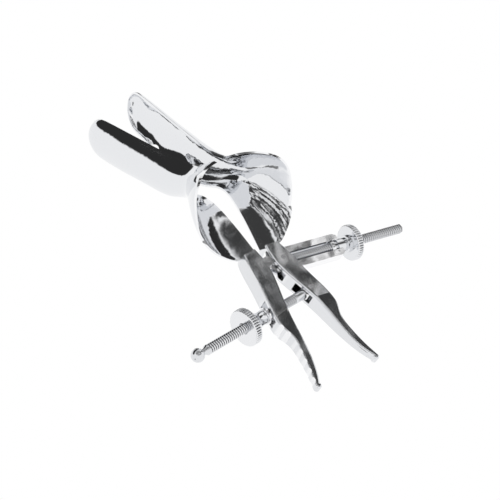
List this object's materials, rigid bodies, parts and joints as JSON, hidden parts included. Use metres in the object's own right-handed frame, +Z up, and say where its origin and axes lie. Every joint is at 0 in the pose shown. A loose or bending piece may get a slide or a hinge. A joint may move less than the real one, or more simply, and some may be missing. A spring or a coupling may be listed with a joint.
{
  "type": "bivalve speculum",
  "caption": "Polished steel bivalve speculum: two hinged trough blades on lever handles, opened by a trumpet nut and spread sideways by a flange nut.",
  "frame": {"origin": "centre of the bounding box's base, on the table", "axes": "+Z up from the table, +Y from the handles to the blade tips (longest extent), +X from the near side to the far side"},
  "size_m": [0.1752, 0.248, 0.0628],
  "materials": {
    "valve_steel": "mirror-polished sheet",
    "handle_steel": "polished forging",
    "pin_steel": "ground flush pins",
    "screw_steel": "polished thread",
    "nut_steel": "polished, knurled rim"
  },
  "bodies": {
    "far_side": {"far_valve": "valve_steel", "far_handle": "handle_steel", "side_screw": "screw_steel", "side_screw_pin": "pin_steel", "opening_screw_pin": "pin_steel"},
    "fork": {"slide_fork": "handle_steel", "nut_keeper_pins": "pin_steel"},
    "side_nut": {"flange_nut": "nut_steel"},
    "pivot": {"hinge_pin": "pin_steel"},
    "near_side": {"near_valve": "valve_steel", "near_handle": "handle_steel"},
    "screw_arm": {"opening_screw": "screw_steel", "ball_stop": "screw_steel"},
    "seat": {"seat_ring": "nut_steel"},
    "opening_nut": {"trumpet_nut": "nut_steel"}
  },
  "joints": [
    {"name": "valve_spread", "type": "slide", "parent": "far_side", "child": "fork", "axis": [-0.9997, 0, 0.0261], "range_m": [0, 0.0045]},
    {"name": "side_nut_spin", "type": "hinge", "parent": "fork", "child": "side_nut", "pos_m": [0.04566, -0.04344, 0.01836], "axis": [-0.9997, 0, 0.0261], "range_deg": [-2, 1100]},
    {"name": "pivot_shift", "type": "hinge", "parent": "far_side", "child": "pivot", "pos_m": [-0.01783, -0.0728, 0.01353], "axis": [0.0255, -0.2156, 0.9761], "range_deg": [-0.2, 8.9]},
    {"name": "blade_open", "type": "hinge", "parent": "pivot", "child": "near_side", "pos_m": [-0.01541, -0.04344, 0.01995], "axis": [0.0255, -0.2156, 0.9761], "range_deg": [-13.9, 13.9]},
    {"name": "screw_swing", "type": "hinge", "parent": "far_side", "child": "screw_arm", "pos_m": [0.00065, -0.066, 0.01455], "axis": [0.0255, -0.2156, 0.9761], "range_deg": [-9.5, 9.5]},
    {"name": "nut_travel", "type": "slide", "parent": "screw_arm", "child": "seat", "axis": [-0.9797, -0.1997, -0.0185], "range_m": [-0.0066, 0.0066]},
    {"name": "opening_nut_spin", "type": "hinge", "parent": "seat", "child": "opening_nut", "pos_m": [0.00065, -0.066, 0.01455], "axis": [-0.9797, -0.1997, -0.0185], "range_deg": [-1560, 1560]}
  ],
  "couplings": [
    {"joint": "side_nut_spin", "follows": "valve_spread", "rad_per_m": 4188.8},
    {"joint": "pivot_shift", "follows": "valve_spread", "rad_per_m": 33.161},
    {"joint": "screw_swing", "follows": "blade_open", "ratio": 0.66},
    {"joint": "nut_travel", "follows": "blade_open", "m_per_rad": -0.02611},
    {"joint": "opening_nut_spin", "follows": "blade_open", "ratio": -109.37}
  ]
}
